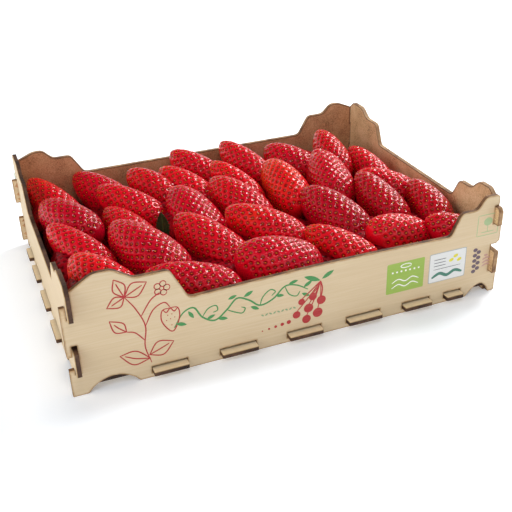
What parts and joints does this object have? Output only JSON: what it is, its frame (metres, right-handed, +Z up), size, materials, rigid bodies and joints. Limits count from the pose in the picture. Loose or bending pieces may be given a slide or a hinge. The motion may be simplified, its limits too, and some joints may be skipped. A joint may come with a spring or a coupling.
{
  "type": "punnet of strawberries",
  "caption": "Shallow slotted wooden crate with stepped corner towers and arched feet, heaped with long ripe strawberries, one leaf among them.",
  "frame": {"origin": "middle of the crate's outer box, on the surface it stands on", "axes": "+X along the crate's long side, to the right as the printed front is seen; +Y from the front to the back; +Z up"},
  "size_m": [0.3, 0.223, 0.0805],
  "materials": {
    "veneer": "pale wood veneer on thin hardboard, unfinished and matt, brown on its inner face, laser-darkened edges, flat printed fields of colour on the long sides",
    "hardboard": "raw brown hardboard, matt, with fine dark flecks",
    "strawberry": null,
    "leaf": null
  },
  "bodies": {
    "root": {"base_panel": "hardboard", "front_panel": "veneer", "back_panel": "veneer", "left_panel": "veneer", "right_panel": "veneer", "strawberries": "strawberry", "leaf": "leaf"}
  },
  "joints": []
}
